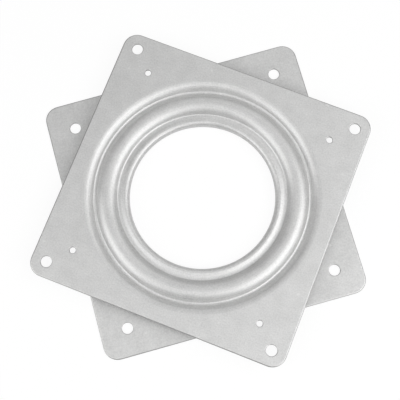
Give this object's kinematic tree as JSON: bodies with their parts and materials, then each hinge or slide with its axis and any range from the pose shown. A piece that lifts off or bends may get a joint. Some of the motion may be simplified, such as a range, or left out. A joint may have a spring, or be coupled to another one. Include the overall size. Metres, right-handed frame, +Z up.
{
  "type": "lazy susan bearing",
  "caption": "Square pressed-steel turntable bearing: an upper plate turns on a ring of balls over a lower plate, held by a rolled collar round an open centre.",
  "frame": {"origin": "on the turning axis, at the lower plate's underside", "axes": "+Z up along the turning axis, from the lower plate to the upper plate; +X and +Y along the lower plate's sides"},
  "size_m": [0.1628, 0.1628, 0.008],
  "materials": {
    "plated_sheet": "satin zinc plate with a fine grain",
    "ball_steel": "polished"
  },
  "bodies": {
    "base": {"lower_plate": "plated_sheet"},
    "ball_ring": {"ball_01": "ball_steel", "ball_02": "ball_steel", "ball_03": "ball_steel", "ball_04": "ball_steel", "ball_05": "ball_steel", "ball_06": "ball_steel", "ball_07": "ball_steel", "ball_08": "ball_steel", "ball_09": "ball_steel", "ball_10": "ball_steel", "ball_11": "ball_steel", "ball_12": "ball_steel", "ball_13": "ball_steel", "ball_14": "ball_steel", "ball_15": "ball_steel", "ball_16": "ball_steel", "ball_17": "ball_steel", "ball_18": "ball_steel", "ball_19": "ball_steel", "ball_20": "ball_steel", "ball_21": "ball_steel", "ball_22": "ball_steel", "ball_23": "ball_steel", "ball_24": "ball_steel", "ball_25": "ball_steel", "ball_26": "ball_steel", "ball_27": "ball_steel", "ball_28": "ball_steel", "ball_29": "ball_steel", "ball_30": "ball_steel", "ball_31": "ball_steel", "ball_32": "ball_steel", "ball_33": "ball_steel", "ball_34": "ball_steel", "ball_35": "ball_steel", "ball_36": "ball_steel", "ball_37": "ball_steel", "ball_38": "ball_steel", "ball_39": "ball_steel", "ball_40": "ball_steel", "ball_41": "ball_steel", "ball_42": "ball_steel", "ball_43": "ball_steel", "ball_44": "ball_steel", "ball_45": "ball_steel", "ball_46": "ball_steel", "ball_47": "ball_steel", "ball_48": "ball_steel"},
    "turntable": {"upper_plate": "plated_sheet"}
  },
  "joints": [
    {"name": "plate_turn", "type": "hinge", "parent": "base", "child": "turntable", "pos_m": [0, 0, 0.004], "axis": [0, 0, 1], "continuous": true},
    {"name": "ball_orbit", "type": "hinge", "parent": "base", "child": "ball_ring", "pos_m": [0, 0, 0.004], "axis": [0, 0, 1], "continuous": true}
  ],
  "couplings": [
    {"joint": "ball_orbit", "follows": "plate_turn", "ratio": 0.5}
  ]
}
